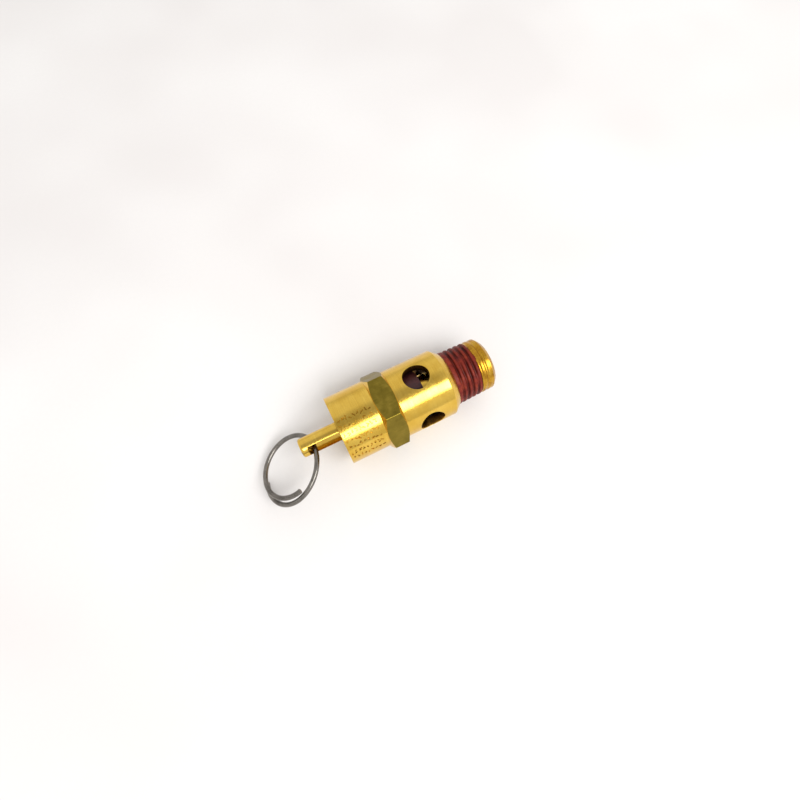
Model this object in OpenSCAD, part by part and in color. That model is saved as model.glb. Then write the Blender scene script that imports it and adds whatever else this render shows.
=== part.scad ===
// Spring-loaded pressure relief valve with a pull ring, lying on one flat of its hexagon.
// The valve's axis is X, and +X points out of the inlet. The origin is on the axis,
// at the shoulder where the inlet thread meets the body. Lengths that run away from
// the inlet are negative X.

/* [Inlet thread] */
// Length of the threaded nose, from the shoulder to its end
nose_l = 10.64; // [10:0.1:12]
// Major diameter of the thread at the end of the nose
thread_d = 13.25; // [13.1:0.05:13.4]
// Distance between neighbouring thread crests
thread_pitch = 1.411; // [1.3:0.01:1.5]
// Length of thread under sealant, from the shoulder
sealed_l = 7; // [6.6:0.1:7.2]
// Diameter of the flow passage through the nose
inlet_d = 6.4; // [5.6:0.1:6.6]

/* [Body] */
// Diameter of the round body and of the cap
body_d = 17.2; // [16.8:0.1:17.4]
// Width across the flats of the hexagon
hex_flats = 17.46; // [17.42:0.02:17.6]
// Distance from the shoulder to the near side of the hexagon
hex_near = 14.73; // [14:0.1:15]
// Distance from the shoulder to the far side of the hexagon
hex_far = 19.9; // [19.5:0.1:20.2]
// Distance from the shoulder to the flat end of the cap
cap_far = 29.72; // [29.5:0.1:31]

/* [Discharge ports] */
// Number of ports drilled round the body
port_count = 4; // [2:1:4]
// Diameter of each port
port_d = 6.4; // [5:0.1:6.6]
// Distance from the shoulder to the middle of the ports
port_x = 8.34; // [8.2:0.02:8.5]
// Angle of the first port from the top, towards the back
port_turn = 10; // [0:1:20]

/* [Seat and spring] */
// Distance from the shoulder to the seat, on the rim of the nozzle
seat_x = 7.5; // [7.3:0.1:7.7]
// Diameter of the wire that the main spring is wound from
spring_wire_d = 1.2; // [0.9:0.05:1.3]
// Number of turns in the main spring
spring_turns = 4.75; // [4:0.25:5]

/* [Stem and ring] */
// Diameter of the stem
stem_d = 4.76; // [4.6:0.02:4.8]
// Distance that the stem stands out of the cap
stem_out = 9.8; // [9.6:0.1:11]
// Width of the slot through the stem
slot_w = 2.55; // [2.55:0.05:2.7]
// Angle of the slot from the top, towards the front
slot_turn = 57; // [57:1:66]
// Diameter of the wire of the pull ring
ring_wire_d = 1.2; // [1:0.05:1.2]
// Radius of the ring's outer half, at the middle of the wire
ring_r = 8.5; // [8.3:0.02:8.5]

/* [Hidden] */
$fn = 96;
overcut = 1;

// Inlet thread: ridges stand for its turns, and their crests lie on the thread's taper
thread_taper = 1 / 32;
first_crest_x = 0.65;
sealed_count = ceil((sealed_l - first_crest_x) / thread_pitch);
crest_land = 0.25;
root_land = 0.1;
thread_depth = 0.92;
bare_depth = 0.4;
nose_chamfer = 0.95;
film_t = 0.08;
film_land = 0.5;
film_root = 0.2;
film_depth = 0.33;

// Round body and hexagon
shoulder_r = 7.05;
bevel_l = 1.85;
body_r = body_d / 2;
hex_corner_r = hex_flats / 2 / cos(30);
hex_chamfer_l = (hex_corner_r - hex_flats / 2) * tan(30);
cap_edge = 0.12;

// Chamber, nozzle and seat
chamber_r = 6.5;
chamber_floor_x = 5;
nozzle_r = 4.1;
screw_bore_r = 6.75;
screw_bore_x = 20.5;

// Moving disc
seat_disc_r = 5.9;
seat_disc_t = 3.5;
holder_x = seat_x + seat_disc_t;
guide_gap = 0.08;
flange_t = 1.8;
hub_r = 3.3;
hub_l = 2.8;
flange_far = holder_x + flange_t;
hub_far = flange_far + hub_l;
seat_screw_r = 1.25;
seat_screw_l = 4.5;
seat_screw_head_r = 2.2;
seat_screw_head_t = 0.9;
hole_gap = 0.05;
spigot_r = 1.75;
spigot_l = 2.6;
lock_pin_r = 0.5;
lock_pin_l = 6.4;
lock_pin_x = flange_far + hub_l / 2;

// Spring, its washer and the adjusting screw
washer_t = 0.5;
washer_r = 6.3;
washer_hole_r = 2.7;
plug_x = 22.1;
plug_l = 6.3;
plug_far = plug_x + plug_l;
plug_gap = 0.05;
plug_slot_w = 1.6;
plug_slot_depth = 1.4;
plug_slot_r = 5.6;
seal_inner_r = 5.9;
seal_t = 0.5;
spring_mean_r = 4.25;
spring_gap = 0.02;
spring_near = flange_far + spring_gap;
spring_far = plug_x - washer_t - spring_gap;
spring_sides = 10;
spring_steps = 28;

// Stem
stem_r = stem_d / 2;
stem_far = cap_far + stem_out;
slot_near = 28;
slot_far = stem_far - 1.65;
tip_chamfer = 0.25;

// Pull ring: two arcs that leave the slot in opposite directions along one tangent,
// each tilted about it by its own angle, so that their ends pass side by side
ring_x = stem_far - 3.07;
ring_tangent_turn = 66;
ring_yaw = 7;
outer_arc_tilt = 29.6;
outer_arc_turn = 202;
inner_arc_tilt = 22.4;
inner_arc_turn = 265;
inner_arc_r = ring_r - 0.72;
ring_joint_r = ring_wire_d / 2 + 0.02;

// Colours
brass = [0.83, 0.66, 0.27];
dull_brass = [0.72, 0.58, 0.28];
steel = [0.55, 0.54, 0.52];
maroon = [0.36, 0.11, 0.09];
sealant_red = [0.55, 0.14, 0.1];

// Distances from the shoulder, away from the inlet, for a piece drawn towards +Z
module from_shoulder(distance) {
    translate([-distance, 0, 0]) rotate([0, -90, 0]) children();
}

// A disc or rod on the valve's axis, between two distances from the shoulder
module axial_rod(near, far, radius) {
    from_shoulder(near) cylinder(r = radius, h = far - near);
}

// Turns an outline of [radius, X] points round the valve's axis
module turned(outline) {
    rotate([0, 90, 0]) rotate_extrude() polygon(outline);
}

function crest_r(x) = thread_d / 2 + (nose_l - x) * thread_taper;
function crest_x(index) = first_crest_x + index * thread_pitch;

// Ridged outline of crests first to last, each crest with a flat land and a V beside it
function ridges(first, last, land, root, depth, inset) = [
    for (index = [first:last], side = [0:3])
        let (middle = crest_x(index), radius = crest_r(middle) - inset)
        let (next = middle + thread_pitch / 2 - root / 2)
        side == 0 ? [radius, middle - land / 2] :
        side == 1 ? [radius, middle + land / 2] :
        side == 2 ? [radius - depth, next] :
        [radius - depth, next + root]
];

function reversed(list) = [for (index = [len(list) - 1:-1:0]) list[index]];

sealed_thread = ridges(0, sealed_count - 1, crest_land, root_land, thread_depth, film_t);
bare_thread = ridges(sealed_count, sealed_count, crest_land, root_land, bare_depth, 0);
nose_crest_x = crest_x(sealed_count + 1) - crest_land / 2;
nose_land_x = nose_l - nose_chamfer;
film_surface = ridges(0, sealed_count - 1, film_land, film_root, film_depth, 0);
sealed_thread_r = crest_r(0) - film_t - thread_depth;

module body_outline() {
    turned(concat(
        [[0, -cap_far], [body_r - cap_edge, -cap_far], [body_r, -cap_far + cap_edge]],
        [[body_r, -bevel_l], [shoulder_r, 0], [sealed_thread_r, 0]],
        sealed_thread,
        bare_thread,
        [[crest_r(nose_crest_x), nose_crest_x], [crest_r(nose_land_x), nose_land_x]],
        [[crest_r(nose_land_x) - nose_chamfer, nose_l], [0, nose_l]]
    ));
}

module hexagon() {
    end_r = hex_flats / 2 - cap_edge;
    intersection() {
        from_shoulder(hex_near) rotate(30)
            cylinder(r = hex_corner_r, h = hex_far - hex_near, $fn = 6);
        turned([
            [0, -hex_far], [end_r, -hex_far],
            [hex_corner_r + cap_edge, -hex_far + hex_chamfer_l + 2 * cap_edge * tan(30)],
            [hex_corner_r + cap_edge, -hex_near - hex_chamfer_l - 2 * cap_edge * tan(30)],
            [end_r, -hex_near], [0, -hex_near]
        ]);
    }
}

module body_chamber() {
    difference() {
        axial_rod(chamber_floor_x, screw_bore_x, chamber_r);
        axial_rod(chamber_floor_x - overcut, seat_x, nozzle_r);
    }
    axial_rod(screw_bore_x, cap_far + overcut, screw_bore_r);
}

module ports() {
    for (index = [0:port_count - 1])
        rotate([-port_turn - index * 360 / port_count, 0, 0])
            translate([-port_x, 0, nozzle_r + overcut]) cylinder(d = port_d, h = body_r);
}

module valve_body() {
    color(brass)
        difference() {
            union() {
                body_outline();
                hexagon();
            }
            body_chamber();
            ports();
            axial_rod(-nose_l - overcut, seat_x + overcut, inlet_d / 2);
        }
}

module thread_sealant() {
    color(sealant_red)
        turned(concat(
            [[sealed_thread_r, 0], [crest_r(0) - film_depth, 0]],
            film_surface,
            reversed(sealed_thread)
        ));
}

module seat_disc() {
    color(maroon)
        difference() {
            axial_rod(seat_x, holder_x, seat_disc_r);
            axial_rod(seat_x - overcut, holder_x + overcut, seat_screw_r + hole_gap);
        }
}

module seat_screw() {
    color(brass)
        difference() {
            union() {
                axial_rod(seat_x - seat_screw_head_t, seat_x, seat_screw_head_r);
                axial_rod(seat_x, seat_x + seat_screw_l, seat_screw_r);
            }
            translate([-seat_x + seat_screw_head_t, 0, 0])
                cube([seat_screw_head_t, 0.7, 2 * seat_screw_head_r + overcut], center = true);
        }
}

module disc_holder() {
    color(dull_brass)
        difference() {
            union() {
                axial_rod(holder_x, flange_far, chamber_r - guide_gap);
                axial_rod(flange_far, hub_far, hub_r);
            }
            axial_rod(holder_x - overcut, seat_x + seat_screw_l + 0.2, seat_screw_r + hole_gap);
            axial_rod(hub_far - spigot_l - 0.1, hub_far + overcut, spigot_r + hole_gap);
            translate([-lock_pin_x, 0, 0]) rotate([90, 0, 0])
                cylinder(r = lock_pin_r, h = 2 * hub_r + overcut, center = true);
        }
}

module stem() {
    color(brass)
        difference() {
            union() {
                axial_rod(hub_far - spigot_l, hub_far, spigot_r);
                turned([
                    [0, -stem_far], [stem_r - tip_chamfer, -stem_far],
                    [stem_r, -stem_far + tip_chamfer], [stem_r, -hub_far], [0, -hub_far]
                ]);
            }
            rotate([slot_turn, 0, 0])
                translate([-slot_far, -slot_w / 2, -stem_d])
                    cube([slot_far - slot_near, slot_w, 2 * stem_d]);
            translate([-lock_pin_x, 0, 0]) rotate([90, 0, 0])
                cylinder(r = lock_pin_r, h = 2 * hub_r, center = true);
        }
}

module stem_lock_pin() {
    color(steel)
        translate([-lock_pin_x, 0, 0]) rotate([90, 0, 0])
            cylinder(r = lock_pin_r, h = lock_pin_l, center = true);
}

// One ring of points round the spring's wire, a given fraction of the way along it
function wire_ring(fraction) =
    let (travel = spring_far - spring_near - spring_wire_d)
    let (x = -spring_near - spring_wire_d / 2 - fraction * travel)
    let (turn = 360 * spring_turns * fraction)
    [
        for (side = [0:spring_sides - 1])
            let (around = 360 * side / spring_sides)
            let (radius = spring_mean_r + spring_wire_d / 2 * cos(around))
            [x + spring_wire_d / 2 * sin(around), radius * cos(turn), radius * sin(turn)]
    ];

module main_spring() {
    steps = round(spring_steps * spring_turns);
    sides = spring_sides;
    points = [for (step = [0:steps]) each wire_ring(step / steps)];
    walls = [
        for (step = [0:steps - 1], side = [0:sides - 1])
            let (here = step * sides + side)
            let (beside = step * sides + (side + 1) % sides)
            [here, beside, beside + sides, here + sides]
    ];
    start = [for (side = [sides - 1:-1:0]) side];
    finish = [for (side = [0:sides - 1]) steps * sides + side];
    color(steel) polyhedron(points, concat([start, finish], walls));
}

module spring_washer() {
    color(steel)
        difference() {
            axial_rod(plug_x - washer_t, plug_x, washer_r);
            axial_rod(plug_x - washer_t - overcut, plug_x + overcut, washer_hole_r);
        }
}

module adjusting_screw() {
    color(brass)
        difference() {
            axial_rod(plug_x, plug_far, screw_bore_r - plug_gap);
            axial_rod(plug_x - overcut, plug_far + overcut, stem_r + hole_gap);
            translate([-plug_far, 0, 0])
                cube([2 * plug_slot_depth, plug_slot_w, 2 * plug_slot_r], center = true);
        }
}

module tamper_seal() {
    color(sealant_red)
        difference() {
            axial_rod(plug_far, plug_far + seal_t, screw_bore_r);
            axial_rod(plug_far - overcut, plug_far + seal_t + overcut, seal_inner_r);
        }
}

// Part of a ring of wire that starts at the origin along X and curves towards Y
module wire_arc(radius, turn, side) {
    start_angle = side > 0 ? -90 : -90 - turn;
    translate([0, radius, 0]) rotate([0, 0, start_angle])
        rotate_extrude(angle = turn) translate([radius, 0]) circle(d = ring_wire_d);
}

module pull_ring() {
    color(steel)
        translate([-ring_x, 0, 0])
            rotate([90 + ring_tangent_turn, 0, 0]) rotate([0, 0, 90 - ring_yaw]) {
                rotate([outer_arc_tilt, 0, 0]) wire_arc(ring_r, outer_arc_turn, 1);
                rotate([inner_arc_tilt, 0, 0]) wire_arc(inner_arc_r, inner_arc_turn, -1);
                sphere(ring_joint_r);
            }
}

valve_body();
thread_sealant();
seat_disc();
seat_screw();
disc_holder();
stem();
stem_lock_pin();
main_spring();
spring_washer();
adjusting_screw();
tamper_seal();
pull_ring();
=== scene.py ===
"""Looks of the pressure relief valve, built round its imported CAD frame.

Lengths are in metres, in the CAD frame: the valve's axis is X and +X points out of the inlet.
Outlines are lists of (x, radius) points, and an angle round the axis is counted from +Z towards +Y.
"""

import itertools
import math
import random

import bmesh
import bpy
from mathutils import Matrix, Vector


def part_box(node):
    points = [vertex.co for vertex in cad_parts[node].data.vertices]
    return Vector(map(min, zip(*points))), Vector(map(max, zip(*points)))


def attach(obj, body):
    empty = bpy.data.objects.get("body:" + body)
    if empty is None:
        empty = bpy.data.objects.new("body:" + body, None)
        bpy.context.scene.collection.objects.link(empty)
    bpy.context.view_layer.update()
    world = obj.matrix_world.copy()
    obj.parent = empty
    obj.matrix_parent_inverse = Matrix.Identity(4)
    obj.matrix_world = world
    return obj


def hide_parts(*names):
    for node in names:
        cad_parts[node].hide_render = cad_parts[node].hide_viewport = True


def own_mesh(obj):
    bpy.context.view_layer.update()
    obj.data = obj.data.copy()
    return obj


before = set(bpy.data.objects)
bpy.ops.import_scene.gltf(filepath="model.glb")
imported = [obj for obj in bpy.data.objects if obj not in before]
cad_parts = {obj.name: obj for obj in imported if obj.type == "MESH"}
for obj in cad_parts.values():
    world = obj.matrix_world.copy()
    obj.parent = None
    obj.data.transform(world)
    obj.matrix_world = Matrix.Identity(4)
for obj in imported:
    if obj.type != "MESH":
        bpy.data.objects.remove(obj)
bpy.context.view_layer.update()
random.seed(7)

MM = 0.001

# ---- Sizes read from the frame -------------------------------------------------------------
body_low, body_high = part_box("valve_body")
stem_low, stem_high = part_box("stem")
spring_low, spring_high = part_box("main_spring")

NOSE_X = body_high.x
CAP_X = body_low.x
HEX_FLAT_R = body_high.z
HEX_CORNER_R = HEX_FLAT_R / math.cos(math.radians(30))
FLOOR_Z = body_low.z
SEAT_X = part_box("seat_disc")[1].x
HUB_END_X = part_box("disc_holder")[0].x
STEM_TIP_X = stem_low.x
STEM_R = 2.38 * MM
BODY_R = 8.6 * MM

# ---- Sizes of the body that its box doesn't give -------------------------------------------
SHOULDER_R = 7.05 * MM
BEVEL_X = -1.85 * MM
HEX_NEAR_X = -14.73 * MM
HEX_FAR_X = -19.9 * MM
CHAMBER_R = 6.5 * MM
CHAMBER_FLOOR_X = -5 * MM
NOZZLE_R = 4.1 * MM
INLET_R = 3.2 * MM
SCREW_BORE_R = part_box("adjusting_screw")[1].z + 0.05 * MM
SCREW_BORE_X = -20.5 * MM
PORT_R = 3.2 * MM
PORT_X = -8.34 * MM
PORT_TURN = 10
PORT_COUNT = 4

# ---- Inlet thread --------------------------------------------------------------------------
THREAD_PITCH = 1.411 * MM
THREAD_END_R = 6.625 * MM
THREAD_TAPER = 1 / 32
THREAD_CORE_R = 5.8 * MM
SEALED_X = 7 * MM
NOSE_CHAMFER = 0.95 * MM

# ---- Stem slot and pull ring ---------------------------------------------------------------
SLOT_W = 2.55 * MM
SLOT_TURN = 57
SLOT_NEAR_X = -28 * MM
SLOT_FAR_X = STEM_TIP_X + 1.65 * MM
RING_WIRE_R = 0.6 * MM
RING_X = STEM_TIP_X + 3.07 * MM
RING_TANGENT_TURN = 66
RING_YAW = 7
OUTER_ARC = {"radius": 8.5 * MM, "tilt": 29.6, "turn": 202}
INNER_ARC = {"radius": 7.78 * MM, "tilt": 22.4, "turn": 265}

SIDES = 256


# ---- Mesh helpers --------------------------------------------------------------------------
def new_object(name, mesh):
    """Links a mesh to the scene as an object of that name."""
    piece = bpy.data.objects.new(name, mesh)
    bpy.context.scene.collection.objects.link(piece)
    return piece


def mesh_from(name, points, faces):
    mesh = bpy.data.meshes.new(name)
    mesh.from_pydata(points, [], faces)
    mesh.update()
    return mesh


def axis_point(x, radius, turn):
    """A point at that radius round the valve's axis. turn is in radians, from +Z towards +Y."""
    return (x, radius * math.sin(turn), radius * math.cos(turn))


def walls(rows, sides, around=False):
    """Faces between rings of points. around joins the last ring to the first."""
    faces = []
    for row in range(rows if around else rows - 1):
        following = (row + 1) % rows
        for side in range(sides):
            beside = (side + 1) % sides
            faces.append(
                (row * sides + side, following * sides + side,
                 following * sides + beside, row * sides + beside)
            )
    return faces


def end_caps(rows, sides):
    """Flat faces that close the first and the last ring."""
    return [tuple(range(sides)), tuple(reversed(range((rows - 1) * sides, rows * sides)))]


def lathe(name, outline, sides=SIDES, closed=True, radius_at=None):
    """Turns an outline of (x, radius) round the axis. radius_at(x, radius, turn) may change a radius."""
    points = []
    for x, radius in outline:
        for side in range(sides):
            turn = 2 * math.pi * side / sides
            here = radius_at(x, radius, turn) if radius_at else radius
            points.append(axis_point(x, here, turn))
    rows = len(outline)
    faces = walls(rows, sides, around=closed)
    if not closed:
        faces += end_caps(rows, sides)
    return solid(name, points, faces)


def solid(name, points, faces):
    """A closed piece with every face pointing outwards."""
    mesh = mesh_from(name, points, faces)
    work = bmesh.new()
    work.from_mesh(mesh)
    bmesh.ops.recalc_face_normals(work, faces=work.faces)
    work.to_mesh(mesh)
    work.free()
    return new_object(name, mesh)


def rounded(outline, radius, steps=3):
    """Rounds each inner corner of an open outline with an arc of about that radius."""
    result = [outline[0]]
    for before, corner, after in zip(outline, outline[1:], outline[2:]):
        a, b, c = Vector(before), Vector(corner), Vector(after)
        reach = min(radius, (a - b).length / 2.2, (c - b).length / 2.2)
        start = b + (a - b).normalized() * reach
        end = b + (c - b).normalized() * reach
        for step in range(steps + 1):
            share = step / steps
            point = start * (1 - share) ** 2 + b * 2 * share * (1 - share) + end * share**2
            result.append(tuple(point))
    return result + [outline[-1]]


def boolean(target, cutter, operation, overlapping=False):
    """Applies an exact boolean and removes the cutter. overlapping is for a cutter of crossing parts."""
    modifier = target.modifiers.new("cut", "BOOLEAN")
    modifier.operation = operation
    modifier.solver = "EXACT"
    modifier.object = cutter
    modifier.use_self = overlapping
    apply_modifiers(target)
    bpy.data.objects.remove(cutter)


def apply_modifiers(piece):
    """Bakes a piece's modifiers into its mesh."""
    graph = bpy.context.evaluated_depsgraph_get()
    mesh = bpy.data.meshes.new_from_object(piece.evaluated_get(graph))
    piece.modifiers.clear()
    piece.data = mesh


def add_bevel(piece, width, angle=35, segments=2):
    modifier = piece.modifiers.new("edges", "BEVEL")
    modifier.width = width
    modifier.segments = segments
    modifier.limit_method = "ANGLE"
    modifier.angle_limit = math.radians(angle)
    apply_modifiers(piece)


def shade_smooth(piece, angle=30):
    """Smooth shading, with edges sharper than the angle kept crisp."""
    mesh = piece.data
    mesh.polygons.foreach_set("use_smooth", [True] * len(mesh.polygons))
    mesh.set_sharp_from_angle(angle=math.radians(angle))
    mesh.update()


def finish_piece(piece, body, node, materials):
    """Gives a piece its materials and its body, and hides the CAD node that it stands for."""
    for material in materials:
        piece.data.materials.append(material)
    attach(piece, body)
    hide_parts(node)
    return piece


# ---- Material helpers ----------------------------------------------------------------------
class Look:
    """A node-built material on the Principled shader."""

    def __init__(self, name, metallic=0.0, roughness=0.5):
        self.material = bpy.data.materials.new(name)
        self.material.use_nodes = True
        self.nodes = self.material.node_tree.nodes
        self.links = self.material.node_tree.links
        self.shader = self.nodes["Principled BSDF"]
        self.shader.inputs["Metallic"].default_value = metallic
        self.shader.inputs["Roughness"].default_value = roughness
        self.place = self.nodes.new("ShaderNodeTexCoord").outputs["Object"]

    def link(self, source, target):
        self.links.new(source, target)

    def scaled(self, scale):
        """The piece's own coordinates, stretched by three factors."""
        node = self.nodes.new("ShaderNodeMapping")
        node.inputs["Scale"].default_value = scale
        self.link(self.place, node.inputs["Vector"])
        return node.outputs["Vector"]

    def noise(self, scale, size, detail=4.0, roughness=0.55):
        """Noise with a stretched grain, size in cells a metre."""
        node = self.nodes.new("ShaderNodeTexNoise")
        node.inputs["Scale"].default_value = size
        node.inputs["Detail"].default_value = detail
        node.inputs["Roughness"].default_value = roughness
        self.link(self.scaled(scale), node.inputs["Vector"])
        return node.outputs["Fac"]

    def ramp(self, source, stops):
        """A colour ramp: stops are (place, colour)."""
        node = self.nodes.new("ShaderNodeValToRGB")
        ramp = node.color_ramp
        while len(ramp.elements) < len(stops):
            ramp.elements.new(0.5)
        for element, (place, colour) in zip(ramp.elements, stops):
            element.position = place
            element.color = (*colour, 1)
        self.link(source, node.inputs["Fac"])
        return node.outputs["Color"]

    def spread(self, source, low, high, start=0.3, end=0.7):
        """Maps a value from start..end to low..high."""
        node = self.nodes.new("ShaderNodeMapRange")
        node.inputs["From Min"].default_value = start
        node.inputs["From Max"].default_value = end
        node.inputs["To Min"].default_value = low
        node.inputs["To Max"].default_value = high
        self.link(source, node.inputs["Value"])
        return node.outputs["Result"]

    def cavity(self, reach):
        """1 in the open, falling to 0 in grooves narrower than the reach; used to paint shade into the
        colour of grooves and bores.
        """
        node = self.nodes.new("ShaderNodeAmbientOcclusion")
        node.inputs["Distance"].default_value = reach
        return node.outputs["AO"]

    def mix(self, factor, first, second):
        """Mixes two colours by a factor's socket. Each colour may be a socket or three numbers."""
        node = self.nodes.new("ShaderNodeMix")
        node.data_type = "RGBA"
        # The node has a set of sockets for each kind of value, and the colours' are A 6, B 7 and result 2
        self.link(factor, node.inputs[0])
        for index, colour in ((6, first), (7, second)):
            if isinstance(colour, bpy.types.NodeSocket):
                self.link(colour, node.inputs[index])
            else:
                node.inputs[index].default_value = (*colour, 1)
        return node.outputs[2]

    def colour(self, source):
        self.link(source, self.shader.inputs["Base Color"])

    def roughness(self, source):
        self.link(source, self.shader.inputs["Roughness"])

    def bump(self, *layers):
        """Stacks bump layers of (height, strength, distance in metres)."""
        normal = None
        for height, strength, distance in layers:
            node = self.nodes.new("ShaderNodeBump")
            node.inputs["Strength"].default_value = strength
            node.inputs["Distance"].default_value = distance
            self.link(height, node.inputs["Height"])
            if normal is not None:
                self.link(normal, node.inputs["Normal"])
            normal = node.outputs["Normal"]
        self.link(normal, self.shader.inputs["Normal"])


def turned_brass():
    """Bright brass with the fine rings that a lathe tool leaves, and a few warmer patches."""
    look = Look("turned_brass", metallic=1.0)
    rings = look.noise((1, 0.02, 0.02), 9000, detail=3)
    patches = look.noise((1, 1, 1), 260, detail=5)
    fine = look.noise((1, 1, 1), 2600, detail=3)
    base = look.ramp(patches, [(0.3, (0.69, 0.43, 0.06)), (0.7, (0.82, 0.56, 0.11))])
    look.colour(look.mix(look.spread(rings, 0, 0.4), base, (0.54, 0.31, 0.035)))
    look.roughness(look.spread(fine, 0.12, 0.24))
    look.bump((rings, 0.3, 0.00002), (patches, 0.12, 0.00012))
    return look.material


def bar_brass():
    """The drawn skin of the hexagon bar: dull olive brown, with drag lines along the bar."""
    look = Look("bar_brass", metallic=1.0)
    drag = look.noise((0.04, 1, 1), 7000, detail=3)
    stains = look.noise((1, 1, 1), 420, detail=6)
    base = look.ramp(stains, [(0.25, (0.17, 0.125, 0.016)), (0.55, (0.25, 0.185, 0.026)),
                              (0.8, (0.36, 0.26, 0.045))])
    look.colour(look.mix(look.spread(drag, 0, 0.4), base, (0.13, 0.092, 0.014)))
    look.roughness(look.spread(stains, 0.3, 0.46))
    look.bump((drag, 0.3, 0.00002), (stains, 0.25, 0.00004))
    return look.material


def shaded_bore_brass():
    """Brass inside the ports and bores, darkened as painted shade and going near black where walls close
    in; the mottling is random stains.
    """
    look = Look("shaded_bore_brass", metallic=1.0)
    stains = look.noise((1, 1, 1), 500, detail=5)
    # Painted shade: a dark brass for the inside, mottled by stains, and near black where the occlusion
    # finds a close wall.
    base = look.ramp(stains, [(0.3, (0.14, 0.06, 0.012)), (0.7, (0.36, 0.19, 0.035))])
    look.colour(look.mix(look.spread(look.cavity(0.006), 0.0, 1.0), (0.02, 0.006, 0.003), base))
    look.roughness(look.spread(stains, 0.25, 0.45))
    look.bump((stains, 0.3, 0.00004))
    return look.material


def red_sealant():
    """Dry brick-red thread sealant: an uneven, slightly glossy film, thin on the crests, with painted
    shade near black in the thread's valleys.
    """
    look = Look("red_sealant")
    clots = look.noise((1, 1, 1), 700, detail=6)
    grain = look.noise((1, 1, 1), 5200, detail=4)
    streaks = look.noise((0.5, 1, 1), 1500, detail=3)
    look.shader.inputs["Specular IOR Level"].default_value = 0.22
    base = look.ramp(clots, [(0.28, (0.1, 0.007, 0.004)), (0.52, (0.2, 0.018, 0.007)),
                             (0.78, (0.31, 0.045, 0.012))])
    film = look.mix(look.spread(streaks, 0, 0.5), base, (0.1, 0.007, 0.004))
    # Painted shade: the colour falls to near black in the thread's valleys, where the occlusion closes
    # in.
    unshaded_share = look.spread(look.cavity(0.0008), 0.0, 1.0, start=0.45, end=0.95)
    look.colour(look.mix(unshaded_share, (0.02, 0.0015, 0.001), film))
    look.roughness(look.spread(grain, 0.36, 0.6))
    look.bump((clots, 0.5, 0.00014), (grain, 0.4, 0.00003))
    return look.material


def stained_and_shaded_brass():
    """Brass at the nose, amber where thin sealant has run over it; in the punch strokes on the cap its
    darker amber is painted shade.
    """
    look = Look("stained_and_shaded_brass", metallic=1.0)
    runs = look.noise((1, 1, 1), 620, detail=5)
    rings = look.noise((1, 0.03, 0.03), 8000, detail=3)
    base = look.ramp(runs, [(0.3, (0.34, 0.15, 0.012)), (0.55, (0.56, 0.31, 0.03)),
                            (0.8, (0.72, 0.47, 0.08))])
    look.colour(look.mix(look.spread(rings, 0, 0.4), base, (0.4, 0.2, 0.02)))
    look.roughness(look.spread(runs, 0.16, 0.36))
    look.bump((runs, 0.3, 0.00005), (rings, 0.3, 0.00002))
    return look.material


def drawn_steel():
    """Grey drawn wire with fine lines and darker patches."""
    look = Look("drawn_steel", metallic=1.0)
    patches = look.noise((1, 1, 1), 420, detail=5)
    fine = look.noise((1, 1, 1), 6000, detail=2)
    look.colour(look.ramp(patches, [(0.3, (0.12, 0.11, 0.098)), (0.7, (0.26, 0.24, 0.215))]))
    look.roughness(look.spread(fine, 0.2, 0.34))
    look.bump((patches, 0.2, 0.00005), (fine, 0.2, 0.00001))
    return look.material


def seat_rubber():
    """Dark maroon moulded rubber."""
    look = Look("seat_rubber")
    mottle = look.noise((1, 1, 1), 900, detail=5)
    look.colour(look.ramp(mottle, [(0.3, (0.028, 0.004, 0.005)), (0.7, (0.06, 0.01, 0.011))]))
    look.roughness(look.spread(mottle, 0.45, 0.62))
    look.bump((mottle, 0.3, 0.00003))
    return look.material


LOOKS = {
    "bright": turned_brass(),
    "bar": bar_brass(),
    "shaded_bore": shaded_bore_brass(),
    "stained_and_shaded": stained_and_shaded_brass(),
    "sealant": red_sealant(),
    "steel": drawn_steel(),
    "rubber": seat_rubber(),
}


# ---- Inlet thread --------------------------------------------------------------------------
def crest_radius(x):
    """Radius of the taper thread's crests."""
    return THREAD_END_R + (NOSE_X - x) * THREAD_TAPER


def thread_wave(x, turn, crest_share, root_share):
    """Height of a helical thread from 0 at its root to 1 at its crest."""
    phase = (x / THREAD_PITCH - turn / (2 * math.pi)) % 1.0
    distance = abs(phase - 0.5) * 2
    slope = (1 - root_share - distance) / (1 - root_share - crest_share)
    height = min(1.0, max(0.0, slope))
    return height * height * (3 - 2 * height)


def fade(value, start, end):
    """Rises smoothly from 0 at the start to 1 at the end."""
    share = min(1.0, max(0.0, (value - start) / (end - start)))
    return share * share * (3 - 2 * share)


def sealed_radius(x, radius, turn):
    """Radius of the sealant's outside: a thread half filled with sealant."""
    if radius <= THREAD_CORE_R + 0.01 * MM:
        return radius
    filled = 0.5 + 0.5 * math.sin(2 * turn + 900 * x + 1.4) * math.sin(5 * turn - 700 * x)
    depth = (0.62 - 0.4 * filled**2) * MM * fade(x, 0.3 * MM, 1.6 * MM)
    lump = 0.05 * MM * math.sin(7 * turn + x * 2600) * math.sin(3 * turn - x * 1900)
    return crest_radius(x) - depth * (1 - thread_wave(x, turn, 0.22, 0.12)) + min(0.0, lump)


def bare_radius(x, radius, turn):
    """Radius of the bare brass at the nose, where the thread fades out towards the end."""
    if x < SEALED_X - 0.4 * MM or radius < THREAD_CORE_R - 0.4 * MM:
        return radius
    depth = 0.3 * MM * (1 - fade(x, SEALED_X + 0.9 * MM, NOSE_X - 0.9 * MM))
    cut = crest_radius(x) - depth * (1 - thread_wave(x, turn, 0.3, 0.12))
    return min(radius, cut)


def steps_between(start, end, count):
    """Evenly spaced values, with both ends."""
    return [start + (end - start) * index / count for index in range(count + 1)]


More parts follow.
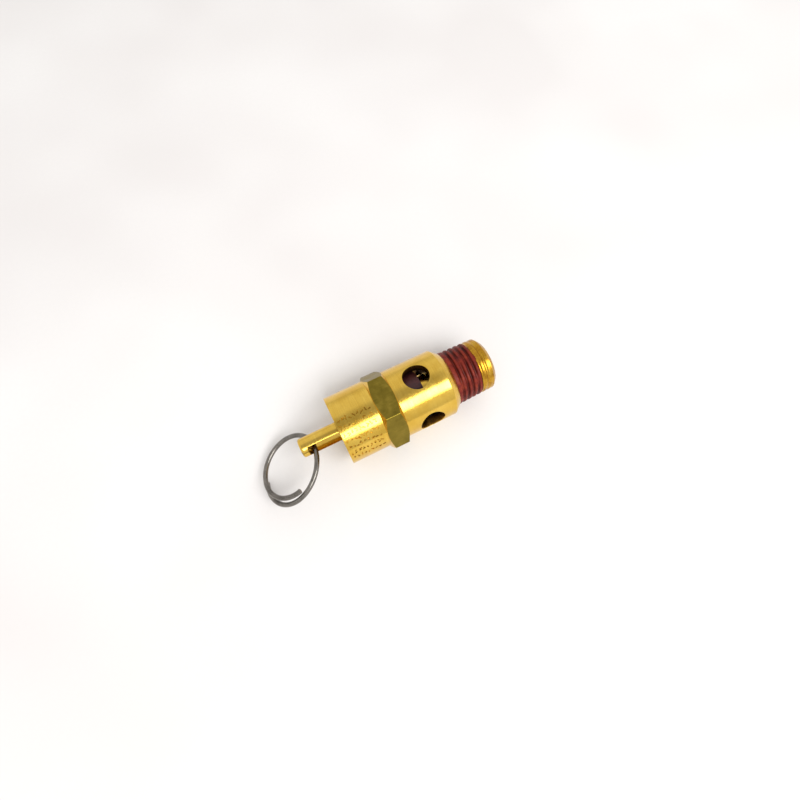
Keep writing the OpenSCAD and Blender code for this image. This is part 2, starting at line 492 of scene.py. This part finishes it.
def make_sealant():
    end_x = SEALED_X + 0.05 * MM
    outside = [(x, crest_radius(x)) for x in steps_between(0.02 * MM, end_x, 110)]
    core = [(end_x, THREAD_CORE_R), (0.02 * MM, THREAD_CORE_R)]
    piece = lathe("sealed_thread", outside + core, radius_at=sealed_radius)
    shade_smooth(piece, 50)
    return finish_piece(piece, "body", "thread_sealant", [LOOKS["sealant"]])


# ---- Body ----------------------------------------------------------------------------------
def body_outline():
    """Closed outline of the turned body, from the shoulder over the cap and back inside."""
    outside = rounded([
        (0.0, THREAD_CORE_R),
        (0.0, SHOULDER_R),
        (BEVEL_X, BODY_R),
        (CAP_X, BODY_R),
        (CAP_X, SCREW_BORE_R),
        (SCREW_BORE_X, SCREW_BORE_R),
        (SCREW_BORE_X, CHAMBER_R),
        (CHAMBER_FLOOR_X, CHAMBER_R),
        (CHAMBER_FLOOR_X, NOZZLE_R),
        (SEAT_X, NOZZLE_R),
        (SEAT_X, INLET_R),
        (NOSE_X, INLET_R),
        (NOSE_X, crest_radius(NOSE_X) - NOSE_CHAMFER),
        (NOSE_X - NOSE_CHAMFER, crest_radius(NOSE_X - NOSE_CHAMFER)),
    ], 0.13 * MM)
    bare = [(x, crest_radius(x)) for x in steps_between(NOSE_X - 1.1 * MM, SEALED_X - 0.3 * MM, 44)]
    return outside + bare + [(SEALED_X - 0.35 * MM, THREAD_CORE_R)]


def hexagon():
    """The hexagon: flats on +Z and -Z, rounded corners, and a 30 degree chamfer on both ends."""
    corner_radius = 0.35 * MM
    centre_r = HEX_CORNER_R - corner_radius / math.cos(math.radians(30))
    section = []
    for corner in range(6):
        middle = math.radians(60 * corner + 30)
        for step in range(-3, 4):
            around = middle + math.radians(10 * step)
            section.append((
                centre_r * math.sin(middle) + corner_radius * math.sin(around),
                centre_r * math.cos(middle) + corner_radius * math.cos(around),
            ))
    points = [(x, y, z) for x in (HEX_NEAR_X, HEX_FAR_X) for y, z in section]
    count = len(section)
    piece = solid("hexagon", points, walls(2, count) + end_caps(2, count))
    end_r = HEX_FLAT_R - 0.12 * MM
    wide_r = HEX_CORNER_R + 0.5 * MM
    middle_r = 0.5 * MM
    run = (wide_r - end_r) * math.tan(math.radians(30))
    near_x = HEX_NEAR_X + 0.001 * MM
    far_x = HEX_FAR_X - 0.001 * MM
    chamfer = lathe("chamfer", [
        (near_x, middle_r), (near_x, end_r),
        (HEX_NEAR_X - run, wide_r), (HEX_FAR_X + run, wide_r),
        (far_x, end_r), (far_x, middle_r),
    ], closed=False)
    boolean(piece, chamfer, "INTERSECT")
    return piece


def port_cutter(turn_degrees):
    """A drill for one port, flared where it leaves the round body, so that the rim is broken."""
    sides = 96
    lip = 0.16 * MM
    inner_end_z = 4.9 * MM
    levels = [
        (PORT_R, None), (PORT_R, -lip), (PORT_R + lip * 0.3, -lip * 0.3),
        (PORT_R + lip, 0.02 * MM), (PORT_R + 2.2 * lip, 1.2 * MM),
    ]
    place = Matrix.Rotation(math.radians(-turn_degrees), 4, "X")
    points = []
    for radius, lift in levels:
        for side in range(sides):
            around = 2 * math.pi * side / sides
            across = radius * math.sin(around)
            surface = math.sqrt(BODY_R**2 - across**2)
            height = inner_end_z if lift is None else surface + lift
            points.append(place @ Vector((PORT_X + radius * math.cos(around), across, height)))
    return solid("drill", points, walls(len(levels), sides) + end_caps(len(levels), sides))


def stroke_points(along, turn):
    """The eight corners of one punch stroke, at a random slant near that place on the cap."""
    depth = 0.14 * MM
    along -= random.uniform(-0.2, 0.2) * MM
    aside = random.uniform(-0.4, 0.4) * MM
    length = random.uniform(0.14, 0.42) * MM
    slant = random.uniform(0, math.pi)
    width = random.uniform(0.09, 0.16) * MM
    points = []
    for lift in (BODY_R - depth, BODY_R + depth):
        for u, v in ((-length, -width), (length, -width), (length, width), (-length, width)):
            x = along + u * math.cos(slant) - v * math.sin(slant)
            arc = aside + u * math.sin(slant) + v * math.cos(slant)
            points.append(axis_point(x, lift, turn + arc / BODY_R))
    return points


def stamp_strokes():
    """Punch strokes with no meaning, in rows along the cap's front, as one cutter."""
    rows, columns, strokes_each = 7, 9, 2
    box_faces = walls(2, 4) + end_caps(2, 4)
    points = []
    faces = []
    for row, column, _ in itertools.product(range(rows), range(columns), range(strokes_each)):
        along = HEX_FAR_X - (1.5 + 0.93 * column) * MM
        first = len(points)
        points += stroke_points(along, math.radians(-3 - 11.5 * row))
        faces += [tuple(first + corner for corner in face) for face in box_faces]
    return solid("strokes", points, faces)


def mark_body_faces(mesh):
    """Chooses bright, bar, shaded bore or stained-and-shaded brass for each face of the body from where
    it is; the bore and stroke faces carry painted shade.
    """
    bright, bar, shaded_bore, stained_and_shaded = 0, 1, 2, 3
    for face in mesh.polygons:
        x, y, z = face.center
        radius = math.hypot(y, z)
        normal = face.normal
        outward = (normal.y * y + normal.z * z) / max(radius, 1e-9)
        past_body = HEX_FAR_X < x < HEX_NEAR_X and radius > BODY_R + 0.05 * MM
        inside = radius < BODY_R - 0.25 * MM and CAP_X + 1 * MM < x < BEVEL_X
        on_nose = x > SEALED_X - 1 * MM and radius > INLET_R + 0.1 * MM
        below_skin = BODY_R - 0.4 * MM < radius < BODY_R - 0.04 * MM
        in_stroke = CAP_X + 0.5 * MM < x < HEX_FAR_X and below_skin
        if past_body and abs(normal.x) < 0.2:
            face.material_index = bar
        # Faces inside the body get the bore brass, which carries painted shade.
        elif inside and outward < 0.3:
            face.material_index = shaded_bore
        # The nose gets the sealant-stained brass; the punch strokes get it too, and there its darker
        # amber is painted shade in the recesses.
        elif on_nose or in_stroke:
            face.material_index = stained_and_shaded
        else:
            face.material_index = bright


def make_body():
    piece = lathe("body_brass", body_outline(), radius_at=bare_radius)
    for index in range(PORT_COUNT):
        boolean(piece, port_cutter(PORT_TURN + index * 360 / PORT_COUNT), "DIFFERENCE")
    boolean(piece, stamp_strokes(), "DIFFERENCE", overlapping=True)
    boolean(piece, hexagon(), "UNION")
    mark_body_faces(piece.data)
    shade_smooth(piece, 28)
    return finish_piece(piece, "body", "valve_body",
                        [LOOKS["bright"], LOOKS["bar"], LOOKS["shaded_bore"], LOOKS["stained_and_shaded"]])


# ---- Stem ----------------------------------------------------------------------------------
def slot_cutter():
    """A long box through the stem, turned to the slot's angle."""
    place = Matrix.Rotation(math.radians(SLOT_TURN), 4, "X")
    half_w = SLOT_W / 2
    reach = 2 * STEM_R
    section = [(-half_w, -reach), (half_w, -reach), (half_w, reach), (-half_w, reach)]
    points = [place @ Vector((x, y, z)) for x in (SLOT_NEAR_X, SLOT_FAR_X) for y, z in section]
    return solid("slot", points, walls(2, 4) + end_caps(2, 4))


def make_stem():
    tip = 0.35 * MM
    spigot_r = 1.75 * MM
    middle_r = 0.02 * MM
    outline = rounded([
        (stem_high.x, middle_r), (stem_high.x, spigot_r), (HUB_END_X, spigot_r),
        (HUB_END_X, STEM_R), (STEM_TIP_X + tip, STEM_R),
        (STEM_TIP_X, STEM_R - tip), (STEM_TIP_X, middle_r),
    ], 0.15 * MM)
    piece = lathe("stem_rod", outline, sides=96, closed=False)
    boolean(piece, slot_cutter(), "DIFFERENCE")
    add_bevel(piece, 0.1 * MM, angle=40)
    shade_smooth(piece, 35)
    return finish_piece(piece, "stem", "stem", [LOOKS["bright"]])


# ---- Wire pieces ---------------------------------------------------------------------------
def tube(name, path, radius, sides=24):
    """Sweeps a round wire along a path, with slightly broken edges on its cut ends."""
    directions = []
    for index in range(len(path)):
        before = path[max(0, index - 1)]
        after = path[min(len(path) - 1, index + 1)]
        directions.append((after - before).normalized())
    across = directions[0].orthogonal().normalized()
    edge = radius * 0.14
    rings = [(path[0], directions[0], across, radius - edge)]
    for point, direction in zip(path, directions):
        across = (across - direction * across.dot(direction)).normalized()
        rings.append((point, direction, across, radius))
    rings[1] = (path[0] + directions[0] * edge, directions[0], rings[1][2], radius)
    rings[-1] = (path[-1] - directions[-1] * edge, directions[-1], across, radius)
    rings.append((path[-1], directions[-1], across, radius - edge))
    points = []
    for centre, direction, side_way, size in rings:
        up_way = direction.cross(side_way)
        for side in range(sides):
            turn = 2 * math.pi * side / sides
            points.append(centre + (side_way * math.cos(turn) + up_way * math.sin(turn)) * size)
    piece = solid(name, points, walls(len(rings), sides) + end_caps(len(rings), sides))
    shade_smooth(piece, 40)
    return piece


def ring_arc(arc, side):
    """Points along one arc of the pull ring, from the slot outwards."""
    place = (
        Matrix.Translation((RING_X, 0, 0))
        @ Matrix.Rotation(math.radians(90 + RING_TANGENT_TURN), 4, "X")
        @ Matrix.Rotation(math.radians(90 - RING_YAW), 4, "Z")
        @ Matrix.Rotation(math.radians(arc["tilt"]), 4, "X")
    )
    count = round(arc["turn"] / 2.5)
    points = []
    for step in range(1, count + 1):
        turn = math.radians(arc["turn"]) * step / count
        local = Vector((side * arc["radius"] * math.sin(turn), arc["radius"] * (1 - math.cos(turn)), 0))
        points.append(place @ local)
    return points


def make_ring():
    path = [*reversed(ring_arc(INNER_ARC, -1)), Vector((RING_X, 0, 0)), *ring_arc(OUTER_ARC, 1)]
    piece = tube("ring_wire", path, RING_WIRE_R)
    return finish_piece(piece, "ring", "pull_ring", [LOOKS["steel"]])


def make_spring():
    """The main spring, with its end coils wound close together."""
    wire_r, turns, dead_turns = 0.6 * MM, 4.75, 0.9
    coil_r = spring_high.y - wire_r
    start, end = spring_high.x - wire_r, spring_low.x + wire_r
    dead_pitch = 2.05 * wire_r
    dead_rise = dead_turns * dead_pitch
    live_rise = (start - end) - 2 * dead_rise
    path = []
    count = 260
    for step in range(count + 1):
        wound = turns * step / count
        if wound < dead_turns:
            rise = wound * dead_pitch
        elif wound > turns - dead_turns:
            rise = dead_rise + live_rise + (wound - turns + dead_turns) * dead_pitch
        else:
            rise = dead_rise + live_rise * (wound - dead_turns) / (turns - 2 * dead_turns)
        path.append(Vector(axis_point(start - rise, coil_r, 2 * math.pi * wound)))
    piece = tube("spring_wire", path, wire_r, sides=16)
    finish_piece(piece, "body", "main_spring", [LOOKS["steel"]])
    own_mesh(piece)
    return piece


# ---- CAD nodes that stay as they are -------------------------------------------------------
def paint_cad_nodes():
    finishes = {
        "seat_disc": "rubber", "seat_screw": "bright", "disc_holder": "shaded_bore",
        "stem_lock_pin": "steel", "spring_washer": "steel", "adjusting_screw": "bright",
        "tamper_seal": "sealant",
    }
    for name, look in finishes.items():
        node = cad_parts[name]
        node.data.materials.clear()
        node.data.materials.append(LOOKS[look])


# ---- Stage ---------------------------------------------------------------------------------
def pale_floor():
    look = Look("pale_floor", roughness=0.9)
    cloth = look.noise((1, 1, 1), 900, detail=5)
    broad = look.noise((1, 1, 1), 14, detail=2)
    base = look.ramp(broad, [(0.35, (0.74, 0.715, 0.705)), (0.65, (0.8, 0.785, 0.775))])
    look.colour(look.mix(look.spread(cloth, 0, 0.12), base, (0.7, 0.68, 0.67)))
    look.bump((cloth, 0.15, 0.0001))
    return look.material


def make_stage():
    half = 2.0
    mesh = mesh_from("floor", [(-half, -half, FLOOR_Z), (half, -half, FLOOR_Z),
                               (half, half, FLOOR_Z), (-half, half, FLOOR_Z)], [(0, 1, 2, 3)])
    floor = new_object("floor", mesh)
    mesh.materials.append(pale_floor())


def make_window_light():
    """A soft oblong light above the front, whose reflection is the long streak on the body."""
    data = bpy.data.lights.new("window", "AREA")
    data.shape = "RECTANGLE"
    data.size = 0.5
    data.size_y = 0.27
    data.energy = 2.9
    front_angle = math.radians(35)
    distance = 0.6
    lamp = bpy.data.objects.new("window", data)
    lamp.location = (0.1, -distance * math.sin(front_angle), distance * math.cos(front_angle))
    lamp.rotation_euler = Vector(lamp.location).to_track_quat("Z", "Y").to_euler()
    bpy.context.scene.collection.objects.link(lamp)


def make_room():
    """A white room all round, with a dimmer ceiling."""
    world = bpy.data.worlds.new("room")
    bpy.context.scene.world = world
    world.use_nodes = True
    nodes, links = world.node_tree.nodes, world.node_tree.links
    direction = nodes.new("ShaderNodeTexCoord")
    height = nodes.new("ShaderNodeSeparateXYZ")
    tone = nodes.new("ShaderNodeValToRGB")
    stops = [(0.0, 0.8), (0.35, 1.0), (0.86, 0.95), (0.95, 0.62), (1.0, 0.5)]  # height, level
    while len(tone.color_ramp.elements) < len(stops):
        tone.color_ramp.elements.new(0.5)
    for element, (place, level) in zip(tone.color_ramp.elements, stops):
        element.position = place
        element.color = (level, level * 0.985, level * 0.97, 1)
    links.new(direction.outputs["Generated"], height.inputs["Vector"])
    links.new(height.outputs["Z"], tone.inputs["Fac"])
    links.new(tone.outputs["Color"], nodes["Background"].inputs["Color"])
    nodes["Background"].inputs["Strength"].default_value = 0.95


def choose_picture_tone():
    """Plain tones, so that the brass keeps its strong yellow as in the photograph."""
    settings = bpy.context.scene.view_settings
    settings.view_transform = "Standard"
    settings.look = "None"


def make_camera():
    """The camera close above the valve, at the photograph's angle."""
    place = Vector((-29.6, -30.8, 105.2)) * MM
    target = Vector((-12.9, 0.4, 0.0)) * MM
    axis_slope = 25.4
    focal_share = 0.5625
    data = bpy.data.cameras.new("camera")
    data.sensor_width = 36
    data.lens = focal_share * data.sensor_width
    data.clip_start = 0.005
    data.clip_end = 20
    camera = bpy.data.objects.new("camera", data)
    bpy.context.scene.collection.objects.link(camera)
    back = (place - target).normalized()
    along = Vector((1, 0, 0))
    along = (along - back * along.dot(back)).normalized()
    upward = back.cross(along)
    slope = math.radians(axis_slope)
    right = along * math.cos(slope) - upward * math.sin(slope)
    up = along * math.sin(slope) + upward * math.cos(slope)
    rotation = Matrix((right, up, back)).transposed().to_4x4()
    camera.matrix_world = Matrix.Translation(place) @ rotation
    bpy.context.scene.camera = camera


make_camera()
choose_picture_tone()
make_stage()
make_room()
make_window_light()
make_body()
make_sealant()
make_stem()
make_ring()
make_spring()
paint_cad_nodes()
